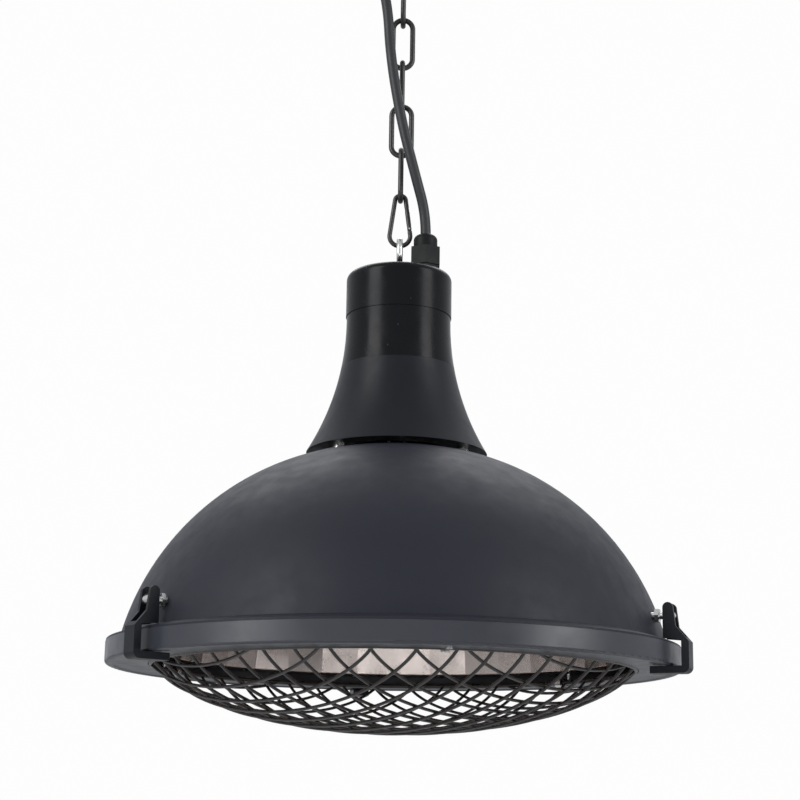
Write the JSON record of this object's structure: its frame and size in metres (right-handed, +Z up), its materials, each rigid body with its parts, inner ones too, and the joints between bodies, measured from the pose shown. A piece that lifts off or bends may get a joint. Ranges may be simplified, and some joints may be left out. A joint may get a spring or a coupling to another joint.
{
  "type": "ceiling heater",
  "caption": "Dome-shaped pendant heater with a faceted reflector and ring lamp behind a domed wire guard, hung by a long-link chain and a snap hook from a ceiling fitting.",
  "frame": {"origin": "middle of the two screw holes, in the ceiling plane on top of the ceiling bracket", "axes": "+Z up into the ceiling, -Y towards the front, +X to the right seen from the front"},
  "size_m": [0.42, 0.4305, 0.6521],
  "materials": {
    "gloss_black": "gloss black enamel",
    "satin_grey": "satin dark grey paint",
    "textured_grey": "fine textured dark grey powder coat",
    "ring_grey": "satin dark grey paint",
    "black_steel": "black coated steel wire",
    "zinc_steel": "bright zinc plate",
    "polished_aluminium": "polished reflector sheet",
    "cable_rubber": "matt black rubber sheath",
    "black_plastic": "moulded black nylon",
    "ruby_glass": "ruby-coated quartz tube",
    "ceramic": "glazed steatite",
    "lead_sleeve": "silicone-sleeved cores"
  },
  "bodies": {
    "ceiling": {"ceiling_bracket": "zinc_steel", "ceiling_eye": "black_steel", "eye_lock_nut": "zinc_steel", "ceiling_rose": "gloss_black", "rose_ring_nut": "gloss_black", "rose_cable_bush": "black_plastic", "rose_terminal_block": "ceramic", "rose_leads": "lead_sleeve"},
    "link_5": {"chain_link_5": "black_steel"},
    "link_4": {"chain_link_4": "black_steel"},
    "link_3": {"chain_link_3": "black_steel"},
    "link_2": {"chain_link_2": "black_steel"},
    "link_1": {"chain_link_1": "black_steel"},
    "snap_hook": {"snap_hook": "black_steel", "snap_gate_pin": "zinc_steel"},
    "snap_gate": {"snap_gate": "black_steel"},
    "heater": {"eye_bolt": "zinc_steel", "eye_washer": "zinc_steel", "eye_nuts": "zinc_steel", "top_cap": "gloss_black", "collar": "gloss_black", "neck_flare": "satin_grey", "collar_screws": "zinc_steel", "collar_nuts": "zinc_steel", "vent_screws": "zinc_steel", "vent_nuts": "zinc_steel", "vent_spacers": "zinc_steel", "gland_body": "black_plastic", "gland_dome_nut": "black_plastic", "gland_seal": "cable_rubber", "gland_lock_nut": "black_plastic", "power_cable": "cable_rubber", "terminal_block": "ceramic", "earth_screw": "zinc_steel", "inner_leads": "lead_sleeve", "dome_shade": "textured_grey", "rim_ring": "ring_grey", "reflector": "polished_aluminium", "reflector_stays": "zinc_steel", "reflector_screws": "zinc_steel", "stay_screws": "zinc_steel", "lamp_tube": "ruby_glass", "lamp_end_caps": "ceramic", "lamp_supports": "zinc_steel", "grille_edge": "black_steel", "grille": "black_steel", "grille_clips": "zinc_steel", "clip_screws": "zinc_steel", "clamp_lugs": "zinc_steel", "lug_nuts": "zinc_steel", "clamp_pins": "satin_grey"},
    "clamp_left": {"clamp_left": "satin_grey"},
    "clamp_right": {"clamp_right": "satin_grey"},
    "clamp_rear": {"clamp_rear": "satin_grey"}
  },
  "joints": [
    {"name": "link_5_swing", "type": "hinge", "parent": "ceiling", "child": "link_5", "pos_m": [0, 0, -0.056], "axis": [1, 0, 0], "range_deg": [-15, 15], "deforming": ["power_cable"]},
    {"name": "link_4_swing", "type": "hinge", "parent": "link_5", "child": "link_4", "pos_m": [0, 0, -0.09272], "axis": [0, 1, 0], "range_deg": [-15, 15], "deforming": ["power_cable"]},
    {"name": "link_3_swing", "type": "hinge", "parent": "link_4", "child": "link_3", "pos_m": [0, 0, -0.12984], "axis": [1, 0, 0], "range_deg": [-15, 15], "deforming": ["power_cable"]},
    {"name": "link_2_swing", "type": "hinge", "parent": "link_3", "child": "link_2", "pos_m": [0, 0, -0.16696], "axis": [0, 1, 0], "range_deg": [-15, 15], "deforming": ["power_cable"]},
    {"name": "link_1_swing", "type": "hinge", "parent": "link_2", "child": "link_1", "pos_m": [0, 0, -0.20408], "axis": [1, 0, 0], "range_deg": [-15, 15], "deforming": ["power_cable"]},
    {"name": "snap_hook_swing", "type": "hinge", "parent": "link_1", "child": "snap_hook", "pos_m": [0, 0, -0.2412], "axis": [0, 1, 0], "range_deg": [-20, 20], "deforming": ["power_cable"]},
    {"name": "heater_swing", "type": "hinge", "parent": "snap_hook", "child": "heater", "pos_m": [0, 0, -0.27862], "axis": [1, 0, 0], "range_deg": [-20, 20], "deforming": ["power_cable"]},
    {"name": "snap_gate_hinge", "type": "hinge", "parent": "snap_hook", "child": "snap_gate", "pos_m": [0.00732, 0, -0.26459], "axis": [0, -1, 0], "range_deg": [0, 25], "stiffness_Nm_per_rad": 0.02, "springref_deg": -20.05},
    {"name": "clamp_right_pivot", "type": "hinge", "parent": "heater", "child": "clamp_right", "pos_m": [0.1923, -0.07769, -0.57154], "axis": [-0.3746, -0.9272, 0], "range_deg": [0, 40]},
    {"name": "clamp_rear_pivot", "type": "hinge", "parent": "heater", "child": "clamp_rear", "pos_m": [-0.02886, 0.20538, -0.57154], "axis": [0.9903, 0.1392, 0], "range_deg": [0, 40]},
    {"name": "clamp_left_pivot", "type": "hinge", "parent": "heater", "child": "clamp_left", "pos_m": [-0.16343, -0.12769, -0.57154], "axis": [-0.6157, 0.788, 0], "range_deg": [0, 40]}
  ]
}
